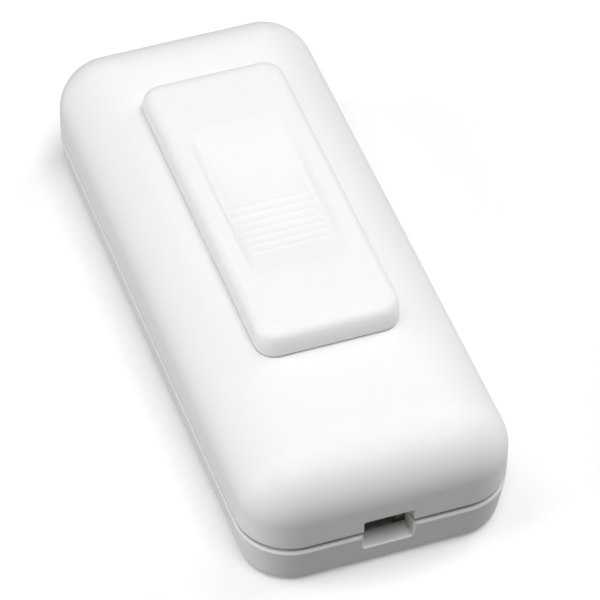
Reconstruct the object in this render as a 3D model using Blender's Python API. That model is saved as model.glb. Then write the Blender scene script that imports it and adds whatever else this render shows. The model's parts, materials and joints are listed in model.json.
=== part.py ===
"""In-line cord switch with a sliding thumb plate, for flat two-core flexible cord.

Two moulded housing halves, screwed together from the underside, hold four brass
terminals. A thumb plate slides along the top and drives a contact carriage whose
two sprung bridges close both poles. A cord clamp sits behind the cord entry at
each end. No cord is fitted.

Frame: origin at the centre of the underside. X is the width, +Y runs along the
length (the thumb plate rests towards +Y, the off position), +Z is up.
All driving dimensions below are in millimetres and are turned into metres once,
in to_m().
"""

import math

import bmesh
import bpy

# ---------------------------------------------------------------- dimensions, mm
LENGTH, WIDTH = 72.0, 30.0          # housing outline at the seam
CORNER_R = 6.0                      # plan corner radius at the seam
TOP_Z = 15.5                        # top face of the housing
SEAM_Z, RIM_Z = 5.95, 5.3           # parting line: upper half's lower edge, lower half's rim
GAP = 0.3                           # clearance between touching pieces
FILLET_IN, FILLET_UP = 7.3, 6.3     # elliptical top edge: inwards, and in height
WALL, FLOOR, ROOF = 2.0, 1.8, 2.0   # housing walls
DRAFT, FOOT_R = 0.6, 1.3            # lower half: taper of its sides, bottom edge

PLATE_L, PLATE_W = 41.6, 16.1       # thumb plate outline
PLATE_R, PLATE_EDGE = 2.2, 1.1      # its plan corner radius and top edge radius
PLATE_DRAFT = 0.38                  # how far its two end walls lean in
PLATE_Z0, PLATE_Z1 = TOP_Z + GAP, 18.7
SCOOP_HALF_L, SCOOP_HALF_W, SCOOP_D = 10.6, 5.65, 1.2
RIB_FIRST, RIB_PITCH, RIB_H, RIBS = -0.35, 1.25, 0.12, 7
REST_Y = 2.7                        # thumb plate's centre in the off position
NECK_W, NECK_L = 6.4, 10.0          # neck through the slot

ENTRY_W, ENTRY_Z0, ENTRY_Z1 = 5.6, 3.0, 7.35   # cord entry
ENTRY_Y = 33.3                      # inner end of the entry's sill
CLAMP_Y, CLAMP_X = 30.6, 4.2        # cord clamp: its centre, and its screws
POLE_X = 4.6                        # centre line of each pole
TERM_Y0, TERM_Y1 = 17.0, 23.0       # terminal block along the length
TERM_W, TERM_Z0, TERM_Z1 = 5.0, 2.1, 7.6
TONGUE_Z0, TONGUE_Z1, TONGUE_W = 5.4, 6.2, 2.8
BRIDGE_Z0, BRIDGE_Z1, BRIDGE_W, BRIDGE_L = 6.9, 7.5, 2.6, 11.0
DOME_Y, DOME_R, DOME_DROP = 4.3, 0.75, 0.4
CARR_W, CARR_L, CARR_Z0, CARR_Z1 = 13.4, 18.0, 9.0, 13.2
SPRING_R, SPRING_WIRE, SPRING_TURNS = 1.15, 0.19, 5.0
SPRING_Z0, SPRING_Z1 = 7.8, 12.1
BOSS_X, BOSS_Y = 9.6, 27.0          # housing screws on one diagonal, dowels on the other
LEAF_X, LEAF_T, LEAF_Z0, LEAF_Z1 = 8.5, 0.35, 9.9, 12.9

SEG = 8                             # facets per plan corner


def to_m(v):
    return tuple(c * 0.001 for c in v)


# ---------------------------------------------------------------- scene and materials
for old in list(bpy.data.objects):
    bpy.data.objects.remove(old, do_unlink=True)

scene = bpy.context.scene
scene.unit_settings.system = "METRIC"
scene.unit_settings.scale_length = 1.0
parts_col = bpy.data.collections.new("switch")
helpers_col = bpy.data.collections.new("helpers")
scene.collection.children.link(parts_col)
scene.collection.children.link(helpers_col)


def material(name, colour, roughness, metallic=0.0):
    mat = bpy.data.materials.new(name)
    mat.use_nodes = True
    shader = mat.node_tree.nodes["Principled BSDF"]
    shader.inputs["Base Color"].default_value = (*colour, 1.0)
    shader.inputs["Roughness"].default_value = roughness
    shader.inputs["Metallic"].default_value = metallic
    mat.diffuse_color = (*colour, 1.0)
    return mat


WHITE = material("housing_white", (0.86, 0.86, 0.85), 0.42)
WHITE_KNOB = material("thumb_plate_white", (0.88, 0.88, 0.87), 0.38)
IVORY = material("carriage_plastic", (0.80, 0.78, 0.72), 0.45)
BRASS = material("brass", (0.72, 0.54, 0.26), 0.30, 1.0)
STEEL = material("zinc_plated_steel", (0.66, 0.67, 0.68), 0.32, 1.0)
SPRING = material("spring_steel", (0.52, 0.53, 0.55), 0.28, 1.0)
BRONZE = material("contact_bronze", (0.74, 0.50, 0.32), 0.30, 1.0)
FIBRE = material("vulcanised_fibre", (0.115, 0.12, 0.12), 0.70)


# ---------------------------------------------------------------- modelling helpers
def finish(bm, name, mat=None, col=None, parent=None):
    """Turns a bmesh in millimetres into an object, with faces pointing out."""
    for v in bm.verts:
        v.co = to_m(v.co)
    bmesh.ops.recalc_face_normals(bm, faces=bm.faces)
    mesh = bpy.data.meshes.new(name)
    bm.to_mesh(mesh)
    bm.free()
    obj = bpy.data.objects.new(name, mesh)
    (col or parts_col).objects.link(obj)
    if mat:
        mesh.materials.append(mat)
    if parent:
        obj.parent = parent
    return obj


def node(bm, name, mat, parent=None, sharp=35.0):
    obj = finish(bm, name, mat, parts_col, parent)
    obj.data.shade_smooth()
    obj.data.set_sharp_from_angle(angle=math.radians(sharp))
    return obj


def helper(bm, name, parent=None):
    obj = finish(bm, name, None, helpers_col, parent)
    obj.hide_render = True
    obj.display_type = "WIRE"
    return obj


def boolean(target, tool, operation):
    mod = target.modifiers.new(tool.name, "BOOLEAN")
    mod.operation = operation
    mod.object = tool
    mod.solver = "EXACT"
    return target


def cut(target, bm, name):
    return boolean(target, helper(bm, "cut_" + name, target.parent), "DIFFERENCE")


def fuse(target, bm, name):
    return boolean(target, helper(bm, "add_" + name, target.parent), "UNION")


def skin(rings):
    """A closed solid through rings of points that all have the same count."""
    bm = bmesh.new()
    rows = [[bm.verts.new(p) for p in ring] for ring in rings]
    n = len(rows[0])
    for a, b in zip(rows, rows[1:]):
        for i in range(n):
            j = (i + 1) % n
            bm.faces.new((a[i], a[j], b[j], b[i]))
    bm.faces.new(list(reversed(rows[0])))
    bm.faces.new(rows[-1])
    return bm


def rounded(length, width, radius, z, seg=SEG, cx=0.0, cy=0.0):
    """Points of a rounded rectangle, length along Y and width along X."""
    hx, hy = width / 2 - radius, length / 2 - radius
    pts = []
    for sx, sy, start in ((1, 1, 0), (-1, 1, 90), (-1, -1, 180), (1, -1, 270)):
        for k in range(seg + 1):
            a = math.radians(start + 90 * k / seg)
            pts.append((cx + sx * hx + radius * math.cos(a), cy + sy * hy + radius * math.sin(a), z))
    return pts


def housing_ring(z, inset):
    r = max(CORNER_R - inset, 0.9)
    return rounded(LENGTH - 2 * inset, WIDTH - 2 * inset, r, z)


def block(x0, x1, y0, y1, z0, z1):
    bm = bmesh.new()
    bmesh.ops.create_cube(bm, size=1.0)
    for v in bm.verts:
        v.co.x = (x0 + x1) / 2 + v.co.x * abs(x1 - x0)
        v.co.y = (y0 + y1) / 2 + v.co.y * abs(y1 - y0)
        v.co.z = (z0 + z1) / 2 + v.co.z * abs(z1 - z0)
    return bm


def rod(x, y, radii_z, n=20):
    """A turned solid on a vertical axis: (radius, height) pairs from the bottom up."""
    rings = []
    for r, z in radii_z:
        rings.append([(x + r * math.cos(2 * math.pi * k / n), y + r * math.sin(2 * math.pi * k / n), z) for k in range(n)])
    return skin(rings)


def rod_y(x, z, r, y0, y1, n=20):
    rings = []
    for y in (y0, y1):
        rings.append([(x + r * math.cos(2 * math.pi * k / n), y, z + r * math.sin(2 * math.pi * k / n)) for k in range(n)])
    return skin(rings)


def prism_z(outline, z0, z1):
    return skin([[(x, y, z0) for x, y in outline], [(x, y, z1) for x, y in outline]])


# ---------------------------------------------------------------- lower housing
rings = []
for k in range(5):                                   # rounded bottom edge
    a = math.radians(90 * k / 4)
    rings.append(housing_ring(FOOT_R * (1 - math.cos(a)), DRAFT + FOOT_R * (1 - math.sin(a))))
rings.append(housing_ring(RIM_Z - 0.36, 0.0))
rings.append(housing_ring(RIM_Z - 0.11, 0.11))       # rounded rim
rings.append(housing_ring(RIM_Z, 0.36))
rings.append(housing_ring(RIM_Z, 1.3))               # shoulder
rings.append(housing_ring(SEAM_Z + 0.65, 1.3))       # locating lip
lower = node(skin(rings), "lower_housing", WHITE)
cut(lower, skin([housing_ring(FLOOR, 2.4), housing_ring(FLOOR + 0.5, WALL), housing_ring(9.0, WALL)]), "lower_inside")

for sy in (-1, 1):
    end = "front" if sy < 0 else "back"
    fuse(lower, block(-1.0, 1.0, sy * 15.5, sy * 26.5, 1.4, 8.0), f"pole_partition_{end}")
    for sx in (-1, 1):
        side = f"{end}_{'left' if sx < 0 else 'right'}"
        fuse(lower, block(sx * 7.5, sx * 8.4, sy * 15.4, sy * 24.2, 1.4, 6.0), f"terminal_wall_{side}")
        fuse(lower, block(sx * 0.8, sx * 8.3, sy * 15.4, sy * 16.6, 1.4, 5.1), f"terminal_stop_{side}")
        fuse(lower, block(sx * 0.8, sx * 8.3, sy * 23.4, sy * 24.2, 1.4, 3.2), f"terminal_sill_{side}")
        y0, y1 = (1.6, 15.6) if sy > 0 else (-15.6, -6.8)
        fuse(lower, block(sx * POLE_X - 0.7, sx * POLE_X + 0.7, y0, y1, 1.4, 5.1), f"tongue_rib_{side}")
        fuse(lower, block(sx * 2.0, sx * 7.4, sy * 27.5, sy * 34.4, 1.4, 3.2), f"nut_seat_{side}")
        screwed = sx * sy < 0
        fuse(lower, rod(sx * BOSS_X, sy * BOSS_Y, [(2.9, 1.2), (2.9, RIM_Z)]), f"boss_{side}")
        if not screwed:
            fuse(lower, rod(sx * BOSS_X, sy * BOSS_Y, [(1.4, 5.0), (1.4, 8.1), (1.0, 8.5)], 16), f"dowel_{side}")
        cut(lower, block(sx * CLAMP_X - 2.7, sx * CLAMP_X + 2.7, sy * (CLAMP_Y - 2.7), sy * (CLAMP_Y + 2.7), FLOOR, 5.0), f"nut_pocket_{side}")
        if screwed:
            cut(lower, rod(sx * BOSS_X, sy * BOSS_Y, [(2.75, -1.0), (2.75, 1.9)]), f"screw_head_seat_{side}")
            cut(lower, rod(sx * BOSS_X, sy * BOSS_Y, [(1.6, 1.0), (1.6, 9.0)], 16), f"screw_hole_{side}")
    fuse(lower, block(-ENTRY_W / 2 - 0.6, ENTRY_W / 2 + 0.6, sy * ENTRY_Y, sy * 34.6, 1.4, RIM_Z - 0.3), f"entry_sill_{end}")
    cut(lower, block(-ENTRY_W / 2, ENTRY_W / 2, sy * 32.0, sy * 38.0, ENTRY_Z0, 9.0), f"cord_entry_{end}")
for sx in (-1, 1):
    side = "left" if sx < 0 else "right"
    fuse(lower, block(sx * POLE_X - 1.2, sx * POLE_X + 1.2, -5.2, 0.2, 1.4, TONGUE_Z1), f"insulating_track_{side}")

# ---------------------------------------------------------------- upper housing
spring_z = TOP_Z - FILLET_UP
rings = [housing_ring(SEAM_Z, 0.12), housing_ring(SEAM_Z + 0.12, 0.0)]
for k in range(9):                                   # elliptical top edge
    a = math.radians(90 * k / 8)
    rings.append(housing_ring(spring_z + FILLET_UP * math.sin(a), FILLET_IN * (1 - math.cos(a))))
upper = node(skin(rings), "upper_housing", WHITE)
rings = [housing_ring(4.0, 1.0), housing_ring(SEAM_Z + 0.95, 1.0), housing_ring(SEAM_Z + 0.95, WALL)]
for k in range(7):
    a = math.radians(90 * k / 6)
    rings.append(housing_ring(spring_z + (FILLET_UP - ROOF) * math.sin(a), WALL + (FILLET_IN - WALL) * (1 - math.cos(a))))
cut(upper, skin(rings), "upper_inside")

roof = TOP_Z - ROOF
for sx in (-1, 1):
    side = "left" if sx < 0 else "right"
    for sy in (-1, 1):
        end = "front" if sy < 0 else "back"
        fuse(upper, block(sx * 7.0, sx * 8.2, sy * 4.5, sy * 13.0, 9.6, roof + 0.3), f"carriage_rail_{side}_{end}")
        fuse(upper, block(sx * 9.15, sx * 10.1, sy * 5.8, sy * 9.3, 9.6, roof + 0.1), f"spring_post_{side}_{end}")
        fuse(upper, block(sx * 8.0, sx * 9.4, sy * 8.5, sy * 9.3, 9.6, roof + 0.2), f"spring_stop_{side}_{end}")
        fuse(upper, rod(sx * BOSS_X, sy * BOSS_Y, [(2.7, SEAM_Z), (2.7, 13.7)]), f"upper_boss_{side}_{end}")
        if sx * sy < 0:
            cut(upper, rod(sx * BOSS_X, sy * BOSS_Y, [(1.6, 5.0), (1.6, 12.35)], 16), f"pilot_hole_{side}_{end}")
        else:
            cut(upper, rod(sx * BOSS_X, sy * BOSS_Y, [(1.75, 5.0), (1.75, 9.0)], 16), f"dowel_hole_{side}_{end}")
for sy in (-1, 1):
    end = "front" if sy < 0 else "back"
    cut(upper, block(-ENTRY_W / 2, ENTRY_W / 2, sy * 33.0, sy * 38.0, 4.5, ENTRY_Z1), f"upper_entry_{end}")
slot_half = NECK_L / 2 + REST_Y + 0.35
cut(upper, prism_z([(p[0], p[1]) for p in rounded(2 * slot_half, NECK_W + 0.8, 0.8, 0, 3)], 12.0, 17.0), "slide_slot")

# ---------------------------------------------------------------- housing screws
for sx, sy in ((1, -1), (-1, 1)):
    name = "housing_screw_front" if sy < 0 else "housing_screw_back"
    x, y = sx * BOSS_X, sy * BOSS_Y
    screw = node(rod(x, y, [(1.9, 0.3), (2.4, 0.75), (2.4, 1.6), (1.3, 1.6), (1.3, 11.4), (0.7, 12.0)], 20), name, STEEL)
    cut(screw, block(x - 3.0, x + 3.0, y - 0.32, y + 0.32, -0.5, 0.95), name + "_slot")

# ---------------------------------------------------------------- cord clamps
for sy in (-1, 1):
    end = "front" if sy < 0 else "back"
    y = sy * CLAMP_Y
    bar = node(prism_z([(p[0], p[1]) for p in rounded(3.0, 12.8, 1.0, 0, 3, 0.0, y)], 4.1, 5.5), f"cord_clamp_{end}", FIBRE)
    tooth = skin([
        [(-0.9, y - 1.0, 2.5), (0.9, y - 1.0, 2.5), (0.9, y + 1.0, 2.5), (-0.9, y + 1.0, 2.5)],
        [(-1.25, y - 1.45, 4.5), (1.25, y - 1.45, 4.5), (1.25, y + 1.45, 4.5), (-1.25, y + 1.45, 4.5)],
    ])
    fuse(bar, tooth, f"clamp_tooth_{end}")
    for sx in (-1, 1):
        side = f"{end}_{'left' if sx < 0 else 'right'}"
        x = sx * CLAMP_X
        cut(bar, rod(x, y, [(1.35, 3.0), (1.35, 6.5)], 16), f"clamp_hole_{side}")
        screw = node(rod(x, y, [(0.6, 2.15), (1.0, 2.6), (1.0, 5.8), (1.95, 5.8), (1.95, 6.9), (1.6, 7.2)], 18), f"clamp_screw_{side}", BRASS)
        cut(screw, block(x - 2.5, x + 2.5, y - 0.28, y + 0.28, 6.55, 8.0), f"clamp_screw_slot_{side}")
        nut = node(block(x - 2.4, x + 2.4, y - 2.4, y + 2.4, 2.1, 3.7), f"clamp_nut_{side}", BRASS)
        cut(nut, rod(x, y, [(1.3, 1.0), (1.3, 5.0)], 16), f"nut_bore_{side}")

# ---------------------------------------------------------------- terminals
for sy in (-1, 1):
    end = "front" if sy < 0 else "back"
    for sx in (-1, 1):
        side = f"{end}_{'left' if sx < 0 else 'right'}"
        x = sx * POLE_X
        term = node(block(x - TERM_W / 2, x + TERM_W / 2, sy * TERM_Y0, sy * TERM_Y1, TERM_Z0, TERM_Z1), f"terminal_{side}", BRASS)
        y0, y1 = (0.6, TERM_Y0 + 0.5) if sy > 0 else (-TERM_Y0 - 0.5, -5.6)
        fuse(term, block(x - TONGUE_W / 2, x + TONGUE_W / 2, y0, y1, TONGUE_Z0, TONGUE_Z1), f"tongue_{side}")
        cut(term, rod_y(x, 4.35, 1.2, sy * (TERM_Y0 + 0.9), sy * (TERM_Y1 + 1.0), 16), f"wire_hole_{side}")
        ym = sy * (TERM_Y0 + TERM_Y1) / 2
        cut(term, rod(x, ym, [(1.3, 4.4), (1.3, 9.0)], 16), f"terminal_screw_hole_{side}")
        screw = node(rod(x, ym, [(0.7, 4.95), (1.0, 5.25), (1.0, 7.9), (1.85, 7.9), (1.85, 8.9), (1.5, 9.2)], 18), f"terminal_screw_{side}", STEEL)
        cut(screw, block(x - 2.5, x + 2.5, ym - 0.28, ym + 0.28, 8.55, 10.0), f"terminal_screw_slot_{side}")

# ---------------------------------------------------------------- sliding group
slide = bpy.data.objects.new("slide_origin", None)   # on the slide's centre line, at its rest position
slide.location = to_m((0.0, REST_Y, 0.0))
parts_col.objects.link(slide)

# thumb plate, in the slide's own coordinates
rings = [rounded(PLATE_L - 0.3, PLATE_W - 0.3, PLATE_R - 0.15, PLATE_Z0, 5),
         rounded(PLATE_L, PLATE_W, PLATE_R, PLATE_Z0 + 0.15, 5)]
for k in range(5):
    a = math.radians(90 * k / 4)
    d = PLATE_EDGE * (1 - math.cos(a))
    rings.append(rounded(PLATE_L - 2 * (1.45 * d + PLATE_DRAFT), PLATE_W - 2 * d, PLATE_R - d, PLATE_Z1 - PLATE_EDGE + PLATE_EDGE * math.sin(a), 5))
plate = node(skin(rings), "thumb_plate", WHITE_KNOB, slide)
cut(plate, block(-6.6, 6.6, -19.4, 19.4, PLATE_Z0 - 1.0, PLATE_Z0 + 0.7), "plate_underside")
fuse(plate, prism_z([(p[0], p[1]) for p in rounded(NECK_L, NECK_W, 0.6, 0, 3)], 13.55, PLATE_Z0 + 1.1), "plate_neck")
for sy in (-1, 1):
    end = "front" if sy < 0 else "back"
    leg = [(3.2, 8.1), (3.6, 7.7), (4.7, 7.7), (5.35, 8.35), (5.35, 8.7), (4.5, 8.7), (4.5, 13.9), (3.2, 13.9)]
    ring0 = [(-2.0, sy * y, z) for y, z in leg]
    ring1 = [(2.0, sy * y, z) for y, z in leg]
    fuse(plate, skin([ring0, ring1]), f"snap_leg_{end}")

# finger scoop: a long shallow arc, cross ribs on its near half, its sides leaning out
radius = (SCOOP_HALF_L ** 2 + SCOOP_D ** 2) / (2 * SCOOP_D)


def scoop_z(y):
    return PLATE_Z1 - (math.sqrt(radius ** 2 - y * y) - (radius - SCOOP_D))


profile = [(-SCOOP_HALF_L, PLATE_Z1)]
for k in reversed(range(RIBS)):
    y = RIB_FIRST - k * RIB_PITCH
    for dy, up in ((-0.42, 0.0), (-0.14, RIB_H), (0.14, RIB_H), (0.42, 0.0)):
        profile.append((y + dy, min(scoop_z(y + dy) + up, PLATE_Z1 - 0.02)))
for k in range(1, 9):
    y = 0.07 + (SCOOP_HALF_L - 0.07) * k / 9
    profile.append((y, scoop_z(y)))
profile.append((SCOOP_HALF_L, PLATE_Z1))
profile += [(SCOOP_HALF_L, PLATE_Z1 + 1.0), (-SCOOP_HALF_L, PLATE_Z1 + 1.0)]


def lean(y):
    return 0.6 * max(PLATE_Z1 - scoop_z(y), 0.0)


cut(plate, skin([[(sx * (SCOOP_HALF_W - (lean(y) if z < PLATE_Z1 else 0.0)), y, z) for y, z in profile] for sx in (-1, 1)]), "finger_scoop")

# contact carriage
carriage = node(block(-CARR_W / 2, CARR_W / 2, -CARR_L / 2, CARR_L / 2, CARR_Z0, CARR_Z1), "contact_carriage", IVORY, slide)
for sx in (-1, 1):
    side = "left" if sx < 0 else "right"
    for sy in (-1, 1):
        end = "front" if sy < 0 else "back"
        fuse(carriage, block(sx * 2.6, sx * 6.5, sy * 5.85, sy * 7.1, 7.0, CARR_Z0 + 0.3), f"bridge_driver_{side}_{end}")
        yn = sy * REST_Y
        half = CARR_W / 2
        notch = [(sx * (half + 0.8), yn - 2.6), (sx * (half - 0.9), yn), (sx * (half + 0.8), yn + 2.6)]
        cut(carriage, prism_z(notch, CARR_Z0 - 0.5, CARR_Z1 + 0.5), f"detent_notch_{side}_{end}")
    cut(carriage, rod(sx * POLE_X, 0.0, [(1.75, CARR_Z0 - 0.5), (1.75, SPRING_Z1 + 0.3)], 18), f"spring_pocket_{side}")
cut(carriage, block(-2.35, 2.35, -4.8, 4.8, CARR_Z0 - 0.5, CARR_Z1 + 0.5), "snap_window")

# contact bridges and their springs
for sx in (-1, 1):
    side = "left" if sx < 0 else "right"
    x = sx * POLE_X
    bridge = node(block(x - BRIDGE_W / 2, x + BRIDGE_W / 2, -BRIDGE_L / 2, BRIDGE_L / 2, BRIDGE_Z0, BRIDGE_Z1), f"contact_bridge_{side}", BRONZE, slide)
    for sy in (-1, 1):
        end = "front" if sy < 0 else "back"
        dome = [(0.25, BRIDGE_Z0 - DOME_DROP), (0.6, BRIDGE_Z0 - DOME_DROP + 0.12), (DOME_R, BRIDGE_Z0 + 0.02), (DOME_R, BRIDGE_Z0 + 0.2)]
        fuse(bridge, rod(x, sy * DOME_Y, dome, 14), f"contact_dome_{side}_{end}")
    helix = []
    steps = int(SPRING_TURNS * 12)
    for k in range(steps + 1):
        a = 2 * math.pi * k / 12
        h = SPRING_Z0 + SPRING_WIRE + (SPRING_Z1 - SPRING_Z0 - 2 * SPRING_WIRE) * k / steps
        c, s = math.cos(a), math.sin(a)
        ring = []
        for m in range(6):
            b = 2 * math.pi * m / 6
            rr = SPRING_R + SPRING_WIRE * math.cos(b)
            ring.append((x + rr * c, rr * s, h + SPRING_WIRE * math.sin(b)))
        helix.append(ring)
    node(skin(helix), f"bridge_spring_{side}", SPRING, slide, 60.0)

# ---------------------------------------------------------------- detent springs
for sx in (-1, 1):
    side = "left" if sx < 0 else "right"
    inner = [(LEAF_X, -8.2), (LEAF_X, -2.6), (6.45, -0.35), (6.25, 0.0), (6.45, 0.35), (LEAF_X, 2.6), (LEAF_X, 8.2)]
    outer = [(LEAF_X + LEAF_T, 8.2), (LEAF_X + LEAF_T, 2.42), (6.82, 0.2), (6.72, 0.0), (6.82, -0.2), (LEAF_X + LEAF_T, -2.42), (LEAF_X + LEAF_T, -8.2)]
    node(prism_z([(sx * x, y) for x, y in inner + outer], LEAF_Z0, LEAF_Z1), f"detent_spring_{side}", SPRING)
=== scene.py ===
import json
import math

import bmesh
import bpy
from mathutils import Matrix, Vector


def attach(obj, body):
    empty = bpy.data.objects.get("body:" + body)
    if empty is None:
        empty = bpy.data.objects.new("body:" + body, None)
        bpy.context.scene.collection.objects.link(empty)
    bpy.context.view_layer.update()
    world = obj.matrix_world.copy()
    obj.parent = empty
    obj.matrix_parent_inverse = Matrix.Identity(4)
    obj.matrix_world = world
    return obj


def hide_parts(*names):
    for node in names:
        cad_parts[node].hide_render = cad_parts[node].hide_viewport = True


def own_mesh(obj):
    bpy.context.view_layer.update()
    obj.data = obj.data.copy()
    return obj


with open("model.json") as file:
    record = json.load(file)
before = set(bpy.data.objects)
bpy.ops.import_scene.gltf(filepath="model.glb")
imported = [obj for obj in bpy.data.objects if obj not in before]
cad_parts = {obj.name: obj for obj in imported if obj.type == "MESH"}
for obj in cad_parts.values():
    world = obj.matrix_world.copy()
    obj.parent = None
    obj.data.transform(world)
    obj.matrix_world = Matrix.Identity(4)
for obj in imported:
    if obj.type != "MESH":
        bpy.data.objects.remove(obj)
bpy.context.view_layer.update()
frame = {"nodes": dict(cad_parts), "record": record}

# All lengths below are in millimetres and are turned into metres in one place, build().
LENGTH, WIDTH, CORNER_R = 72.0, 30.0, 6.0
TOP_Z, SEAM_Z, RIM_Z, GAP = 15.5, 5.95, 5.3, 0.3
FILLET_IN, FILLET_UP = 7.3, 6.3
WALL, FLOOR, ROOF = 2.0, 1.8, 2.0
DRAFT, FOOT_R = 0.6, 1.3
PLATE_L, PLATE_W, PLATE_R, PLATE_EDGE = 41.6, 16.1, 2.2, 1.1
PLATE_Z0, PLATE_Z1 = TOP_Z + GAP, 18.7
REST_Y = 2.7
NECK_W, NECK_L = 6.4, 10.0
ENTRY_W, ENTRY_Z0, ENTRY_Z1, ENTRY_Y = 5.6, 3.0, 7.35, 33.3
CLAMP_Y, CLAMP_X = 30.6, 4.2
POLE_X = 4.6
TERM_Y0, TERM_Y1 = 17.0, 23.0
BOSS_X, BOSS_Y = 9.6, 27.0
SPRING_R, SPRING_WIRE, SPRING_TURNS, SPRING_Z0, SPRING_Z1 = 1.15, 0.19, 5.0, 7.8, 12.1


# ------------------------------------------------------------------ materials
def new_material(name):
    mat = bpy.data.materials.new(name)
    mat.use_nodes = True
    nt = mat.node_tree
    nt.nodes.clear()
    out = nt.nodes.new("ShaderNodeOutputMaterial")
    bsdf = nt.nodes.new("ShaderNodeBsdfPrincipled")
    nt.links.new(bsdf.outputs["BSDF"], out.inputs["Surface"])
    return mat, nt, bsdf


def noise(nt, coord, scale, detail=3.0, rough=0.5, stretch=None):
    n = nt.nodes.new("ShaderNodeTexNoise")
    n.inputs["Scale"].default_value = scale
    n.inputs["Detail"].default_value = detail
    n.inputs["Roughness"].default_value = rough
    if stretch:
        m = nt.nodes.new("ShaderNodeMapping")
        m.inputs["Scale"].default_value = stretch
        nt.links.new(coord, m.inputs["Vector"])
        coord = m.outputs["Vector"]
    nt.links.new(coord, n.inputs["Vector"])
    return n.outputs["Fac"]


def remap(nt, value, lo, hi, a=0.3, b=0.7):
    r = nt.nodes.new("ShaderNodeMapRange")
    r.inputs["From Min"].default_value = a
    r.inputs["From Max"].default_value = b
    r.inputs["To Min"].default_value = lo
    r.inputs["To Max"].default_value = hi
    nt.links.new(value, r.inputs["Value"])
    return r.outputs["Result"]


def ramp(nt, value, stops):
    r = nt.nodes.new("ShaderNodeValToRGB")
    r.color_ramp.elements[0].position, r.color_ramp.elements[0].color = stops[0][0], (*stops[0][1], 1)
    r.color_ramp.elements[1].position, r.color_ramp.elements[1].color = stops[-1][0], (*stops[-1][1], 1)
    for p, c in stops[1:-1]:
        e = r.color_ramp.elements.new(p)
        e.color = (*c, 1)
    nt.links.new(value, r.inputs["Fac"])
    return r.outputs["Color"]


def bump(nt, heights, strength, distance):
    """Chains bump nodes: heights is a list of (value, strength, distance)."""
    last = None
    for value, s, d in heights:
        b = nt.nodes.new("ShaderNodeBump")
        b.inputs["Strength"].default_value = s * strength
        b.inputs["Distance"].default_value = d * distance
        nt.links.new(value, b.inputs["Height"])
        if last is not None:
            nt.links.new(last, b.inputs["Normal"])
        last = b.outputs["Normal"]
    return last


def moulded(name, base, shade, rough, grain=0.28, grain_depth=1.0, specks=0.0):
    """Injection-moulded plastic: fine eroded grain, slow flow waviness and a little tone drift."""
    mat, nt, bsdf = new_material(name)
    co = nt.nodes.new("ShaderNodeTexCoord").outputs["Object"]
    slow = noise(nt, co, 55.0, 3.0, 0.55)
    flow = noise(nt, co, 130.0, 2.0, 0.5, (1.0, 0.35, 1.0))
    fine = noise(nt, co, 1000.0 / grain, 2.0, 0.6)
    coarse = noise(nt, co, 420.0 / grain, 2.0, 0.5)
    nt.links.new(ramp(nt, slow, [(0.30, shade), (0.5, base), (0.72, tuple(min(1.0, c * 1.008) for c in base))]), bsdf.inputs["Base Color"])
    nt.links.new(remap(nt, flow, rough - 0.035, rough + 0.045), bsdf.inputs["Roughness"])
    bsdf.inputs["IOR"].default_value = 1.53
    bsdf.inputs["Specular IOR Level"].default_value = 0.42
    heights = [(slow, 0.35, 0.00004), (coarse, 0.30 * grain_depth, 0.000012), (fine, 0.38 * grain_depth, 0.000008)]
    nt.links.new(bump(nt, heights, 1.0, 1.0), bsdf.inputs["Normal"])
    return mat


def metal(name, base, dark, rough, stretch=(1.0, 1.0, 0.08), scale=2600.0, tarnish=0.35, metallic=1.0):
    mat, nt, bsdf = new_material(name)
    co = nt.nodes.new("ShaderNodeTexCoord").outputs["Object"]
    lines = noise(nt, co, scale, 4.0, 0.65, stretch)
    cloud = noise(nt, co, 420.0, 4.0, 0.6)
    nt.links.new(ramp(nt, cloud, [(0.30, dark), (0.30 + tarnish, base), (0.85, tuple(min(1.0, c * 1.06) for c in base))]), bsdf.inputs["Base Color"])
    nt.links.new(remap(nt, lines, rough - 0.08, rough + 0.12), bsdf.inputs["Roughness"])
    bsdf.inputs["Metallic"].default_value = metallic
    nt.links.new(bump(nt, [(lines, 0.35, 0.00001), (cloud, 0.2, 0.00002)], 1.0, 1.0), bsdf.inputs["Normal"])
    return mat


# Dark grey vulcanised fibre. The fibre finish is real, and its dark grey is also painted shade, standing in for the
# shade inside the cord entries.
def fibre_with_painted_shade(name):
    mat, nt, bsdf = new_material(name)
    co = nt.nodes.new("ShaderNodeTexCoord").outputs["Object"]
    layers = noise(nt, co, 1500.0, 5.0, 0.7, (1.0, 1.0, 6.0))
    cloud = noise(nt, co, 500.0, 3.0, 0.6)
    nt.links.new(ramp(nt, cloud, [(0.3, (0.17, 0.177, 0.165)), (0.55, (0.25, 0.255, 0.24)), (0.8, (0.32, 0.32, 0.30))]), bsdf.inputs["Base Color"])
    nt.links.new(remap(nt, layers, 0.62, 0.85), bsdf.inputs["Roughness"])
    nt.links.new(bump(nt, [(layers, 0.6, 0.00003)], 1.0, 1.0), bsdf.inputs["Normal"])
    return mat


WHITE = moulded("moulded_white", (0.865, 0.865, 0.858), (0.852, 0.852, 0.846), 0.50)
WHITE_KNOB = moulded("moulded_white_plate", (0.872, 0.872, 0.862), (0.860, 0.860, 0.850), 0.44, 0.24, 0.75)
NATURAL = moulded("moulded_natural", (0.78, 0.76, 0.69), (0.74, 0.72, 0.65), 0.48)
BRASS = metal("brass", (0.88, 0.75, 0.47), (0.64, 0.52, 0.29), 0.46, metallic=0.8)
BRONZE = metal("contact_bronze", (0.76, 0.50, 0.31), (0.50, 0.30, 0.17), 0.32, (1.0, 0.06, 1.0))
SILVER = metal("contact_silver", (0.83, 0.82, 0.79), (0.60, 0.58, 0.54), 0.30)
ZINC = metal("zinc_plate", (0.66, 0.67, 0.68), (0.47, 0.48, 0.50), 0.33)
STEEL = metal("spring_steel", (0.50, 0.51, 0.53), (0.33, 0.33, 0.35), 0.30, (1.0, 1.0, 0.3))
FIBRE_AND_PAINTED_SHADE = fibre_with_painted_shade("vulcanised_fibre")


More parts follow.
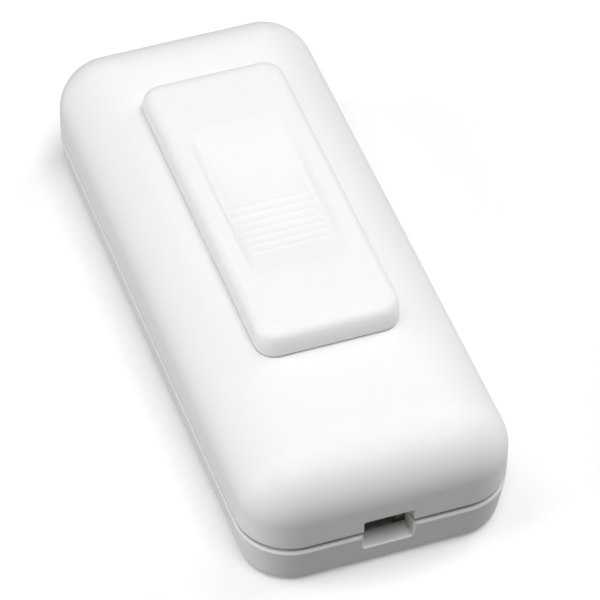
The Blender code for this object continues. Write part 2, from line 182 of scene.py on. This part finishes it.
# ------------------------------------------------------------------ mesh helpers, in mm
def build(bm, name, mat=None, sharp=32.0, smooth=True):
    for v in bm.verts:
        v.co *= 0.001
    bmesh.ops.recalc_face_normals(bm, faces=bm.faces)
    mesh = bpy.data.meshes.new(name)
    bm.to_mesh(mesh)
    bm.free()
    obj = bpy.data.objects.new(name, mesh)
    bpy.context.scene.collection.objects.link(obj)
    if mat:
        mesh.materials.append(mat)
    if smooth:
        mesh.shade_smooth()
        mesh.set_sharp_from_angle(angle=math.radians(sharp))
    return obj


def skin(rings, caps=True):
    bm = bmesh.new()
    rows = [[bm.verts.new(p) for p in ring] for ring in rings]
    n = len(rows[0])
    for a, b in zip(rows, rows[1:]):
        for i in range(n):
            j = (i + 1) % n
            bm.faces.new((a[i], a[j], b[j], b[i]))
    if caps:
        bm.faces.new(list(reversed(rows[0])))
        bm.faces.new(rows[-1])
    return bm


def rounded(length, width, radius, z, seg, cx=0.0, cy=0.0, sides=None):
    """Rounded rectangle, length along Y. sides = (points along each long side, along each short side)."""
    hx, hy = width / 2 - radius, length / 2 - radius
    corners = []
    for sx, sy, start in ((1, 1, 0), (-1, 1, 90), (-1, -1, 180), (1, -1, 270)):
        pts = []
        for k in range(seg + 1):
            a = math.radians(start + 90 * k / seg)
            pts.append((cx + sx * hx + radius * math.cos(a), cy + sy * hy + radius * math.sin(a), z))
        corners.append(pts)
    if not sides:
        return [p for c in corners for p in c]
    out = []
    for q in range(4):
        out += corners[q]
        a, b = corners[q][-1], corners[(q + 1) % 4][0]
        n = sides[1] if q % 2 == 0 else sides[0]
        for k in range(1, n + 1):
            t = k / (n + 1)
            out.append(tuple(a[i] + (b[i] - a[i]) * t for i in range(3)))
    return out


def housing_ring(z, inset, seg=20):
    r = max(CORNER_R - inset, 0.9)
    return rounded(LENGTH - 2 * inset, WIDTH - 2 * inset, r, z, seg)


def block(x0, x1, y0, y1, z0, z1):
    bm = bmesh.new()
    bmesh.ops.create_cube(bm, size=1.0)
    for v in bm.verts:
        v.co.x = (x0 + x1) / 2 + v.co.x * abs(x1 - x0)
        v.co.y = (y0 + y1) / 2 + v.co.y * abs(y1 - y0)
        v.co.z = (z0 + z1) / 2 + v.co.z * abs(z1 - z0)
    return bm


def rod(x, y, radii_z, n=40):
    return skin([[(x + r * math.cos(2 * math.pi * k / n), y + r * math.sin(2 * math.pi * k / n), z) for k in range(n)] for r, z in radii_z])


def rod_y(x, z, r, y0, y1, n=32):
    return skin([[(x + r * math.cos(2 * math.pi * k / n), y, z + r * math.sin(2 * math.pi * k / n)) for k in range(n)] for y in (y0, y1)])


def prism_z(outline, z0, z1):
    return skin([[(x, y, z0) for x, y in outline], [(x, y, z1) for x, y in outline]])


def arc(n, a0=0.0, a1=90.0):
    return [math.radians(a0 + (a1 - a0) * k / n) for k in range(n + 1)]


class Solid:
    """A piece with its Booleans, baked into a plain mesh by done()."""

    def __init__(self, bm, name, mat):
        self.obj = build(bm, name, mat, smooth=False)
        self.tools = []

    def _do(self, bm, op):
        tool = build(bm, self.obj.name + "_tool", None, smooth=False)
        mod = self.obj.modifiers.new("b", "BOOLEAN")
        mod.operation, mod.object, mod.solver = op, tool, "EXACT"
        tool.hide_render = True
        self.tools.append(tool)
        return self

    def cut(self, bm):
        return self._do(bm, "DIFFERENCE")

    def fuse(self, bm):
        return self._do(bm, "UNION")

    def bevel(self, width, segments=2, angle=40.0):
        mod = self.obj.modifiers.new("edge", "BEVEL")
        mod.width, mod.segments, mod.limit_method, mod.angle_limit = width * 0.001, segments, "ANGLE", math.radians(angle)
        mod.use_clamp_overlap = True
        return self

    def done(self, sharp=32.0, weighted=True):
        o = self.obj
        bpy.context.view_layer.update()
        dg = bpy.context.evaluated_depsgraph_get()
        mesh = bpy.data.meshes.new_from_object(o.evaluated_get(dg))
        mats = [m for m in o.data.materials]
        old = o.data
        o.modifiers.clear()
        o.data = mesh
        bpy.data.meshes.remove(old)
        mesh.materials.clear()
        for m in mats:
            mesh.materials.append(m)
        for p in mesh.polygons:
            p.material_index = 0
        for t in self.tools:
            m = t.data
            bpy.data.objects.remove(t)
            bpy.data.meshes.remove(m)
        bm = bmesh.new()
        bm.from_mesh(mesh)
        bmesh.ops.remove_doubles(bm, verts=bm.verts, dist=2e-7)
        bmesh.ops.dissolve_degenerate(bm, edges=bm.edges, dist=2e-7)
        bm.to_mesh(mesh)
        bm.free()
        mesh.shade_smooth()
        mesh.set_sharp_from_angle(angle=math.radians(sharp))
        if weighted:
            wn = o.modifiers.new("normals", "WEIGHTED_NORMAL")
            wn.mode, wn.keep_sharp, wn.weight = "FACE_AREA", True, 60
        return o


def place(obj, body, node):
    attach(obj, body)
    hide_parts(node)
    return obj


def entry_cut(sy, z0, z1, side_r, top_r, low_r, y_in=32.5, face=36.0):
    """Cutter for a cord entry whose outer edges are rounded by the radii given."""
    def grow(radius, depth):
        if radius <= 0.0:
            return 0.0
        t = min(max(1 - depth / radius, 0.0), 1.0)
        return radius * (1 - math.sqrt(1 - t * t))

    rings = []
    for depth in (-0.8, 0.0, 0.015, 0.045, 0.09, 0.15, 0.23, 0.34, 0.47, 0.66, face - y_in):
        hw = ENTRY_W / 2 + grow(side_r, depth)
        a, b = z0 - grow(low_r, depth), z1 + grow(top_r, depth)
        r = 0.28
        ring = []
        for cx, cz, start in ((hw - r, b - r, 0), (-hw + r, b - r, 90), (-hw + r, a + r, 180), (hw - r, a + r, 270)):
            for k in range(6):
                t = math.radians(start + 90 * k / 5)
                ring.append((cx + r * math.cos(t), sy * (face - depth), cz + r * math.sin(t)))
        rings.append(ring)
    return skin(rings)


# ------------------------------------------------------------------ lower housing
rings = []
for a in arc(10):
    rings.append(housing_ring(FOOT_R * (1 - math.cos(a)), DRAFT + FOOT_R * (1 - math.sin(a))))
bead = 0.36
for a in arc(8):
    rings.append(housing_ring(RIM_Z - bead + bead * math.sin(a), bead * (1 - math.cos(a))))
rings.append(housing_ring(RIM_Z, 1.3))
for a in arc(2):
    rings.append(housing_ring(SEAM_Z + 0.55 + 0.1 * math.sin(a), 1.3 + 0.1 * (1 - math.cos(a))))
lower = Solid(skin(rings), "lower_housing_shell", WHITE)
lower.cut(skin([housing_ring(FLOOR, 2.6), housing_ring(FLOOR + 0.15, 2.25), housing_ring(FLOOR + 0.6, WALL), housing_ring(9.0, WALL)]))
for sy in (-1, 1):
    lower.fuse(block(-1.0, 1.0, sy * 15.5, sy * 26.5, 1.4, 8.0))
    for sx in (-1, 1):
        lower.fuse(block(sx * 7.5, sx * 8.4, sy * 15.4, sy * 24.2, 1.4, 6.0))
        lower.fuse(block(sx * 0.8, sx * 8.3, sy * 15.4, sy * 16.6, 1.4, 5.1))
        lower.fuse(block(sx * 0.8, sx * 8.3, sy * 23.4, sy * 24.2, 1.4, 3.2))
        y0, y1 = (1.6, 15.6) if sy > 0 else (-15.6, -6.8)
        lower.fuse(block(sx * POLE_X - 0.7, sx * POLE_X + 0.7, y0, y1, 1.4, 5.1))
        lower.fuse(block(sx * 2.0, sx * 7.4, sy * 27.5, sy * 34.4, 1.4, 3.2))
        screwed = sx * sy < 0
        lower.fuse(rod(sx * BOSS_X, sy * BOSS_Y, [(2.9, 1.2), (2.9, RIM_Z)]))
        if not screwed:
            lower.fuse(rod(sx * BOSS_X, sy * BOSS_Y, [(1.4, 5.0), (1.4, 8.1), (1.25, 8.35), (1.0, 8.5)], 28))
        lower.cut(block(sx * CLAMP_X - 2.7, sx * CLAMP_X + 2.7, sy * (CLAMP_Y - 2.7), sy * (CLAMP_Y + 2.7), FLOOR, 5.0))
        if screwed:
            lower.cut(rod(sx * BOSS_X, sy * BOSS_Y, [(3.3, -0.3), (3.0, 0.0), (2.82, 0.08), (2.72, 0.2), (2.68, 0.38), (2.68, 1.9)], 56))
            lower.cut(rod(sx * BOSS_X, sy * BOSS_Y, [(1.6, 1.0), (1.6, 9.0)], 28))
    lower.fuse(block(-ENTRY_W / 2 - 0.6, ENTRY_W / 2 + 0.6, sy * ENTRY_Y, sy * 34.6, 1.4, RIM_Z - 0.3))
    lower.cut(entry_cut(sy, ENTRY_Z0, 9.0, 0.42, 0.0, 0.6, face=35.93))
for sx in (-1, 1):
    lower.fuse(block(sx * POLE_X - 1.2, sx * POLE_X + 1.2, -5.2, 0.2, 1.4, 6.2))
place(lower.done(), "housing", "lower_housing")

# ------------------------------------------------------------------ upper housing
spring_z = TOP_Z - FILLET_UP
rings = []
for a in arc(4):
    rings.append(housing_ring(SEAM_Z + 0.13 * (1 - math.cos(a)), 0.13 * (1 - math.sin(a))))
rings.append(housing_ring(spring_z - 0.6, 0.0))
for a in arc(30):
    rings.append(housing_ring(spring_z + FILLET_UP * math.sin(a), FILLET_IN * (1 - math.cos(a))))
upper = Solid(skin(rings), "upper_housing_shell", WHITE)
rings = [housing_ring(4.0, 1.0), housing_ring(SEAM_Z + 0.95, 1.0), housing_ring(SEAM_Z + 0.95, WALL)]
for a in arc(10):
    rings.append(housing_ring(spring_z + (FILLET_UP - ROOF) * math.sin(a), WALL + (FILLET_IN - WALL) * (1 - math.cos(a))))
upper.cut(skin(rings))
roof = TOP_Z - ROOF
for sx in (-1, 1):
    for sy in (-1, 1):
        upper.fuse(block(sx * 7.0, sx * 8.2, sy * 4.5, sy * 13.0, 9.6, roof + 0.3))
        upper.fuse(block(sx * 9.15, sx * 10.1, sy * 5.8, sy * 9.3, 9.6, roof + 0.1))
        upper.fuse(block(sx * 8.0, sx * 9.4, sy * 8.5, sy * 9.3, 9.6, roof + 0.2))
        upper.fuse(rod(sx * BOSS_X, sy * BOSS_Y, [(2.7, SEAM_Z), (2.7, 13.7)]))
        if sx * sy < 0:
            upper.cut(rod(sx * BOSS_X, sy * BOSS_Y, [(1.6, 5.0), (1.6, 12.35)], 28))
        else:
            upper.cut(rod(sx * BOSS_X, sy * BOSS_Y, [(1.75, 5.0), (1.75, 9.0)], 28))
for sy in (-1, 1):
    upper.cut(entry_cut(sy, 4.5, ENTRY_Z1, 0.2, 0.18, 0.0))
slot_half = NECK_L / 2 + REST_Y + 0.35
upper.cut(skin([rounded(2 * slot_half + g, NECK_W + 0.8 + g, 0.8 + g / 2, z, 8) for z, g in ((12.0, 0.0), (15.2, 0.0), (15.42, 0.12), (15.6, 0.5), (17.0, 0.5))]))
place(upper.done(), "housing", "upper_housing")


# ------------------------------------------------------------------ thumb plate
def smooth(a, b, t):
    t = min(max((t - a) / (b - a), 0.0), 1.0)
    return t * t * t * (t * (t * 6 - 15) + 10)


RIB_FIRST, RIB_PITCH, RIBS, RIB_H = -0.35, 1.25, 7, 0.075
SCOOP_L, SCOOP_D = 11.6, 1.2
SKIRT = 0.14
END_IN, END_Z = 2.2, 0.8           # how far the two end walls curve in by the top, and the height they start from


def top_z(x, y):
    """Height of the thumb plate's top, from the plate's centre, in mm below PLATE_Z1."""
    z = -0.05 * (x / 8.0) ** 2
    e = max(abs(y) - 15.6, 0.0)
    z -= 0.045 * e if e > 0 else 0.0
    line = abs(abs(y) - 15.7) / 0.28
    if line < 1 and abs(x) < 6.2:
        z -= 0.022 * (0.5 + 0.5 * math.cos(math.pi * line)) * (1 - smooth(4.6, 6.2, abs(x)))
    t = abs(y) / SCOOP_L
    if t < 1.0:
        depth = SCOOP_D * (1 - t * t) ** 1.35
        wall = 1 - smooth(4.8, 5.95, abs(x))
        z -= depth * wall
        rib = 0.0
        for k in range(RIBS):
            u = (y - (RIB_FIRST - k * RIB_PITCH)) / 0.42
            if abs(u) < 1:
                rib = max(rib, 0.5 + 0.5 * math.cos(math.pi * u))
        fade = smooth(0.05, 0.32, depth) * (1 - smooth(4.2, 4.85, abs(x)))
        z += RIB_H * rib * fade
    return z


def plate_mesh():
    seg, long_n, short_n = 8, 300, 26
    rings = []
    half_w = PLATE_W / 2

    def curve_in(z):
        t = min(max((z - PLATE_Z0 - END_Z) / (PLATE_Z1 - PLATE_Z0 - END_Z), 0.0), 1.0)
        return END_IN * (1 - math.sqrt(1 - t * t))

    def ring(inset, z, end=None):
        r = PLATE_R - inset
        if inset > PLATE_EDGE:
            r = (PLATE_R - PLATE_EDGE) * (half_w - inset) / (half_w - PLATE_EDGE)
        more = END_IN - PLATE_EDGE if end is None else end - inset
        return rounded(PLATE_L - 2 * (inset + more), PLATE_W - 2 * inset, max(r, 1e-4), z, seg, sides=(long_n, short_n))

    rings.append(ring(0.30, PLATE_Z0 - SKIRT, 0.30))
    for a in arc(3):
        d = 0.15 * (1 - math.sin(a))
        rings.append(ring(d, PLATE_Z0 - SKIRT + 0.15 * (1 - math.cos(a)), d))
    for k in range(4):
        z = PLATE_Z0 + END_Z + (PLATE_Z1 - PLATE_EDGE - PLATE_Z0 - END_Z) * k / 4
        rings.append(ring(0.0, z, curve_in(z)))
    for a in arc(12):
        d = PLATE_EDGE * (1 - math.cos(a))
        z0 = PLATE_Z1 - PLATE_EDGE + PLATE_EDGE * math.sin(a)
        base = ring(d, z0, curve_in(z0))
        w = math.sin(a) ** 2
        rings.append([(x, y, z + w * top_z(x, y)) for x, y, z in base])
    steps = 46
    for k in range(1, steps + 1):
        d = PLATE_EDGE + (half_w - PLATE_EDGE) * k / steps
        rings.append([(x, y, PLATE_Z1 + top_z(x, y)) for x, y, _ in ring(min(d, half_w - 0.0005), 0.0)])
    bm = bmesh.new()
    rows = [[bm.verts.new(p) for p in r] for r in rings]
    n = len(rows[0])
    for a, b in zip(rows, rows[1:]):
        for i in range(n):
            j = (i + 1) % n
            bm.faces.new((a[i], a[j], b[j], b[i]))
    bm.faces.new(list(reversed(rows[0])))
    # the last ring is a slit along the centre line: zip it shut
    bmesh.ops.remove_doubles(bm, verts=bm.verts, dist=0.0035)
    edges = [e for e in bm.edges if e.is_boundary]
    if edges:
        bmesh.ops.holes_fill(bm, edges=edges, sides=0)
    bmesh.ops.dissolve_degenerate(bm, edges=bm.edges, dist=1e-5)
    for v in bm.verts:
        v.co.y += REST_Y
    return bm


plate = Solid(plate_mesh(), "thumb_plate_cap", WHITE_KNOB)
place(plate.done(sharp=50.0, weighted=False), "slider", "thumb_plate")
stem = Solid(prism_z([(p[0], p[1]) for p in rounded(NECK_L, NECK_W, 0.6, 0, 6, 0.0, REST_Y)], 13.55, PLATE_Z0 + 0.05), "thumb_plate_stem", WHITE_KNOB)
for sy in (-1, 1):
    leg = [(3.2, 8.1), (3.6, 7.7), (4.7, 7.7), (5.25, 8.25), (5.35, 8.5), (5.25, 8.7), (4.5, 8.7), (4.5, 13.9), (3.2, 13.9)]
    stem.fuse(skin([[(sx * 2.0, REST_Y + sy * y, z) for y, z in leg] for sx in (-1, 1)]))
stem = stem.done()
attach(stem, "slider")


# ------------------------------------------------------------------ screws
def threaded(x, y, r, z0, z1, pitch, depth, n=28, per_pitch=7, tip=0.6):
    """Rings of a helically threaded shank, from the tip up."""
    rings = []
    steps = max(4, int((z1 - z0) / pitch * per_pitch))
    for s in range(steps + 1):
        z = z0 + (z1 - z0) * s / steps
        ring = []
        taper = min(1.0, (z - z0) / tip)
        for k in range(n):
            a = 2 * math.pi * k / n
            ph = (z / pitch - a / (2 * math.pi)) % 1.0
            tri = 1 - abs(2 * ph - 1)
            fade = min(1.0, (z1 - z) / (0.6 * pitch))
            rr = (r - depth + depth * tri * fade) * (0.62 + 0.38 * taper)
            ring.append((x + rr * math.cos(a), y + rr * math.sin(a), z))
        rings.append(ring)
    return rings


def screw(name, x, y, head_r, head_z0, head_z1, shank_r, tip_z, mat, up=True, slot_turn=0.0, pitch=0.45, depth=0.16, n=28):
    """A slotted cheese-head screw with a rounded head edge; up says which way its head faces."""
    sgn = 1.0 if up else -1.0
    base = head_z0 if up else head_z1
    shank_len = abs(base - tip_z)
    rings = threaded(x, y, shank_r, 0.0, shank_len, pitch, depth, n)
    h = head_z1 - head_z0
    e = 0.28 * h
    prof = [(shank_r - depth * 0.5, shank_len), (head_r - 0.06, shank_len), (head_r, shank_len + 0.06), (head_r, shank_len + h - e)]
    prof += [(head_r - e * (1 - math.cos(a)), shank_len + h - e + e * math.sin(a)) for a in arc(5)][1:]
    prof += [(head_r * 0.5, shank_len + h * 1.0), (0.02, shank_len + h * 1.0)]
    for r, z in prof:
        rings.append([(x + r * math.cos(2 * math.pi * k / n), y + r * math.sin(2 * math.pi * k / n), z) for k in range(n)])
    moved = [[(px, py, tip_z + sgn * pz) for px, py, pz in ring] for ring in rings]
    s = Solid(skin(moved), name, mat)
    top = tip_z + sgn * (shank_len + h)
    cutter = block(-head_r - 0.5, head_r + 0.5, -0.28, 0.28, -0.48 * h, 0.5)
    if not up:
        cutter = block(-head_r - 0.5, head_r + 0.5, -0.30, 0.30, -0.5, 0.48 * h)
    bmesh.ops.rotate(cutter, verts=cutter.verts, cent=(0, 0, 0), matrix=Matrix.Rotation(slot_turn, 3, "Z"))
    bmesh.ops.translate(cutter, verts=cutter.verts, vec=(x, y, top))
    s.cut(cutter)
    return s.done(sharp=38.0)


for sx, sy, turn in ((1, -1, 0.55), (-1, 1, -0.35)):
    end = "front" if sy < 0 else "back"
    o = screw(f"base_screw_{end}", sx * BOSS_X, sy * BOSS_Y, 2.4, 0.3, 1.6, 1.3, 12.0, ZINC, up=False, slot_turn=turn, pitch=0.9, depth=0.25, n=44)
    place(o, "housing", f"housing_screw_{end}")

turns = iter((0.3, 1.2, -0.6, 2.1, 0.9, -1.1, 0.15, 1.7))
for sy in (-1, 1):
    end = "front" if sy < 0 else "back"
    y = sy * CLAMP_Y
    # The clamp bar's dark grey fibre is also painted shade inside the cord entry.
    bar = Solid(prism_z([(p[0], p[1]) for p in rounded(3.0, 12.8, 1.0, 0, 8, 0.0, y)], 4.1, 5.5), f"fibre_clamp_{end}", FIBRE_AND_PAINTED_SHADE)
    bar.fuse(skin([
        [(-0.9, y - 1.0, 2.5), (0.9, y - 1.0, 2.5), (0.9, y + 1.0, 2.5), (-0.9, y + 1.0, 2.5)],
        [(-1.25, y - 1.45, 4.5), (1.25, y - 1.45, 4.5), (1.25, y + 1.45, 4.5), (-1.25, y + 1.45, 4.5)],
    ]))
    for sx in (-1, 1):
        bar.cut(rod(sx * CLAMP_X, y, [(1.35, 3.0), (1.35, 6.5)], 28))
    bar.bevel(0.10, 2)
    place(bar.done(), "housing", f"cord_clamp_{end}")
    for sx in (-1, 1):
        side = f"{end}_{'left' if sx < 0 else 'right'}"
        x = sx * CLAMP_X
        o = screw(f"clamp_bolt_{side}", x, y, 1.95, 5.8, 7.2, 1.0, 2.15, BRASS, slot_turn=next(turns))
        place(o, "housing", f"clamp_screw_{side}")
        nut = Solid(prism_z([(p[0], p[1]) for p in rounded(4.8, 4.8, 0.35, 0, 4, x, y)], 2.1, 3.7), f"square_nut_{side}", BRASS)
        nut.cut(rod(x, y, [(1.55, 1.8), (1.3, 2.35), (1.3, 3.45), (1.55, 4.0)], 28))
        nut.bevel(0.09, 2)
        place(nut.done(), "housing", f"clamp_nut_{side}")

turns = iter((0.8, -0.4, 1.5, 2.6))
for sy in (-1, 1):
    end = "front" if sy < 0 else "back"
    for sx in (-1, 1):
        side = f"{end}_{'left' if sx < 0 else 'right'}"
        x, ym = sx * POLE_X, sy * (TERM_Y0 + TERM_Y1) / 2
        t = Solid(block(x - 2.5, x + 2.5, sy * TERM_Y0, sy * TERM_Y1, 2.1, 7.6), f"pillar_terminal_{side}", BRASS)
        y0, y1 = (0.6, TERM_Y0 + 0.5) if sy > 0 else (-TERM_Y0 - 0.5, -5.6)
        t.fuse(block(x - 1.4, x + 1.4, y0, y1, 5.4, 6.2))
        t.cut(rod_y(x, 4.35, 1.2, sy * (TERM_Y0 + 0.9), sy * (TERM_Y1 + 1.0)))
        t.cut(rod(x, ym, [(1.3, 4.4), (1.3, 9.0)], 28))
        t.bevel(0.12, 2)
        place(t.done(), "housing", f"terminal_{side}")
        o = screw(f"terminal_bolt_{side}", x, ym, 1.85, 7.9, 9.2, 1.0, 4.95, ZINC, slot_turn=next(turns))
        place(o, "housing", f"terminal_screw_{side}")

# ------------------------------------------------------------------ sliding contacts
for sx in (-1, 1):
    side = "left" if sx < 0 else "right"
    x = sx * POLE_X
    b = Solid(prism_z([(p[0], p[1]) for p in rounded(11.0, 2.6, 0.5, 0, 6, x, REST_Y)], 6.9, 7.5), f"bronze_bridge_{side}", BRONZE)
    for sy in (-1, 1):
        prof = [(0.05, 6.5)] + [(0.75 * math.sin(a), 6.9 - 0.4 * math.cos(a)) for a in arc(7)][1:] + [(0.75, 7.1)]
        b.fuse(rod(x, REST_Y + sy * 4.3, prof, 28))
    place(b.done(), f"bridge_{side}", f"contact_bridge_{side}")

    helix, per, ends = [], 26, 0.85
    total = SPRING_TURNS + 2 * ends
    steps = int(total * per)
    wire = SPRING_WIRE
    span = SPRING_Z1 - SPRING_Z0 - 2 * wire
    for k in range(steps + 1):
        t = k / per
        a = 2 * math.pi * t
        rise = (min(max(t - ends, 0.0), SPRING_TURNS)) / SPRING_TURNS
        h = SPRING_Z0 + wire + span * rise
        c, s_ = math.cos(a), math.sin(a)
        helix.append([(x + (SPRING_R + wire * math.cos(2 * math.pi * m / 10)) * c, REST_Y + (SPRING_R + wire * math.cos(2 * math.pi * m / 10)) * s_, h + wire * math.sin(2 * math.pi * m / 10)) for m in range(10)])
    coil = build(skin(helix), f"coil_{side}", STEEL, 60.0)
    place(coil, "slider", f"bridge_spring_{side}")
    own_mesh(coil)

for name, mat in (("contact_carriage", NATURAL), ("detent_spring_left", STEEL), ("detent_spring_right", STEEL)):
    o = frame["nodes"][name]
    o.data.materials.clear()
    o.data.materials.append(mat)

# every CAD node also carries its procedural finish
FINISH = {"housing_white": WHITE, "thumb_plate_white": WHITE_KNOB, "carriage_plastic": NATURAL, "brass": BRASS, "contact_bronze": BRONZE,
          "zinc_plated_steel": ZINC, "spring_steel": STEEL, "vulcanised_fibre": FIBRE_AND_PAINTED_SHADE}
for sub in frame["record"].get("subparts", []):
    o = frame["nodes"].get(sub["node"])
    if o is not None:
        o.data.materials.clear()
        o.data.materials.append(FINISH[sub["material_slot"]])

# ------------------------------------------------------------------ floor, light, camera
bm = bmesh.new()
n, half, back_y, rise = 24, 0.9, 0.55, 0.6
rows = []
profile = [(-0.9, 0.0), (back_y - 0.25, 0.0)]
for a in arc(n, 0, 90):
    profile.append((back_y - 0.25 + 0.25 * math.sin(a), 0.25 * (1 - math.cos(a))))
profile.append((back_y, rise))
for px, pz in profile:
    rows.append((bm.verts.new((-half, px, pz)), bm.verts.new((half, px, pz))))
for a, b in zip(rows, rows[1:]):
    bm.faces.new((a[0], a[1], b[1], b[0]))
mesh = bpy.data.meshes.new("floor")
bm.to_mesh(mesh)
bm.free()
floor = bpy.data.objects.new("floor", mesh)
bpy.context.scene.collection.objects.link(floor)
mesh.shade_smooth()
fmat, fnt, fb = new_material("floor_paper")
fb.inputs["Base Color"].default_value = (0.98, 0.98, 0.98, 1)
fb.inputs["Roughness"].default_value = 0.9
fb.inputs["Specular IOR Level"].default_value = 0.1
mesh.materials.append(fmat)
floor.location.z = -0.00003
floor.visible_diffuse = False
floor.visible_glossy = False

world = bpy.data.worlds.new("studio")
bpy.context.scene.world = world
world.use_nodes = True
wnt = world.node_tree
wnt.nodes.clear()
wout = wnt.nodes.new("ShaderNodeOutputWorld")
wbg = wnt.nodes.new("ShaderNodeBackground")
wnt.links.new(wbg.outputs[0], wout.inputs[0])
wco = wnt.nodes.new("ShaderNodeTexCoord")
wsep = wnt.nodes.new("ShaderNodeSeparateXYZ")
wnt.links.new(wco.outputs["Generated"], wsep.inputs[0])
wr = wnt.nodes.new("ShaderNodeValToRGB")
SKY, BELOW, SIDE = 0.06, 0.04, 1.15
wr.color_ramp.elements[0].position, wr.color_ramp.elements[0].color = 0.42, (BELOW, BELOW, BELOW, 1)
wr.color_ramp.elements[1].position, wr.color_ramp.elements[1].color = 0.58, (SKY, SKY, SKY, 1)
nadir = wr.color_ramp.elements.new(0.05)
nadir.color = (0.25, 0.25, 0.25, 1)
wm = wnt.nodes.new("ShaderNodeMath")
wm.operation = "MULTIPLY_ADD"
wm.inputs[1].default_value, wm.inputs[2].default_value = 0.5, 0.5
wnt.links.new(wsep.outputs["Z"], wm.inputs[0])
wnt.links.new(wm.outputs[0], wr.inputs["Fac"])
wside = wnt.nodes.new("ShaderNodeValToRGB")     # light thrown up by a pale table on both long sides
wside.color_ramp.elements[0].position, wside.color_ramp.elements[0].color = 0.47, (SIDE, SIDE, SIDE, 1)
wside.color_ramp.elements[1].position, wside.color_ramp.elements[1].color = 0.52, (0, 0, 0, 1)
wnt.links.new(wm.outputs[0], wside.inputs["Fac"])
wsq = wnt.nodes.new("ShaderNodeMath")
wsq.operation = "MULTIPLY"
wnt.links.new(wsep.outputs["X"], wsq.inputs[0])
wnt.links.new(wsep.outputs["X"], wsq.inputs[1])
wmul = wnt.nodes.new("ShaderNodeMath")
wmul.operation = "MULTIPLY"
wnt.links.new(wside.outputs["Color"], wmul.inputs[0])
wnt.links.new(wsq.outputs[0], wmul.inputs[1])
wadd = wnt.nodes.new("ShaderNodeMath")
wadd.operation = "ADD"
wnt.links.new(wr.outputs["Color"], wadd.inputs[0])
wnt.links.new(wmul.outputs[0], wadd.inputs[1])
wnt.links.new(wadd.outputs[0], wbg.inputs["Color"])
wbg.inputs["Strength"].default_value = 1.0


def area(name, loc, target, size, power):
    data = bpy.data.lights.new(name, "AREA")
    data.shape = "RECTANGLE"
    data.size, data.size_y = size
    data.energy = power
    o = bpy.data.objects.new(name, data)
    bpy.context.scene.collection.objects.link(o)
    o.location = loc
    o.rotation_mode = "QUATERNION"
    o.rotation_quaternion = (Vector(target) - Vector(loc)).to_track_quat("-Z", "Y")
    return o


LAMPS = {
    "top_front": ((0.0, -0.265, 0.75), (0.38, 0.38), 3.15),
    "top_left": ((-0.30, 0.05, 0.75), (0.35, 0.35), 1.1),
    "top_right": ((0.30, 0.05, 0.75), (0.35, 0.35), 1.1),
    "left": ((-0.60, 0.10, 0.30), (0.50, 0.35), 1.75),
    "right": ((0.55, 0.12, 0.34), (0.45, 0.35), 1.35),
}
for lamp, (where, size, power) in LAMPS.items():
    area(lamp, where, (0, 0, 0.01), size, power)

AZ, EL, ROLL, DIST = math.radians(-20.156), math.radians(46.08), math.radians(1.092), 0.4627
FOCAL, CX, CY = 4216.0, 275.2, 291.1
back = Vector((math.sin(AZ) * math.cos(EL), -math.cos(AZ) * math.cos(EL), math.sin(EL)))
right = (-back).cross(Vector((0, 0, 1))).normalized()
up = right.cross(-back)
r2 = math.cos(ROLL) * right + math.sin(ROLL) * up
u2 = -math.sin(ROLL) * right + math.cos(ROLL) * up
cam_data = bpy.data.cameras.new("camera")
cam = bpy.data.objects.new("camera", cam_data)
bpy.context.scene.collection.objects.link(cam)
rot = Matrix((r2, u2, back)).transposed()
cam.matrix_world = Matrix.Translation(back * DIST + Vector((0, 0, 0.0058))) @ rot.to_4x4()
cam_data.sensor_width = 36.0
cam_data.lens = FOCAL / 600 * 36.0
cam_data.shift_x = (300 - CX) / 600
cam_data.shift_y = (CY - 300) / 600
cam_data.clip_start, cam_data.clip_end = 0.02, 20.0
bpy.context.scene.camera = cam

view = bpy.context.scene.view_settings
view.view_transform = "Standard"
view.look = "None"
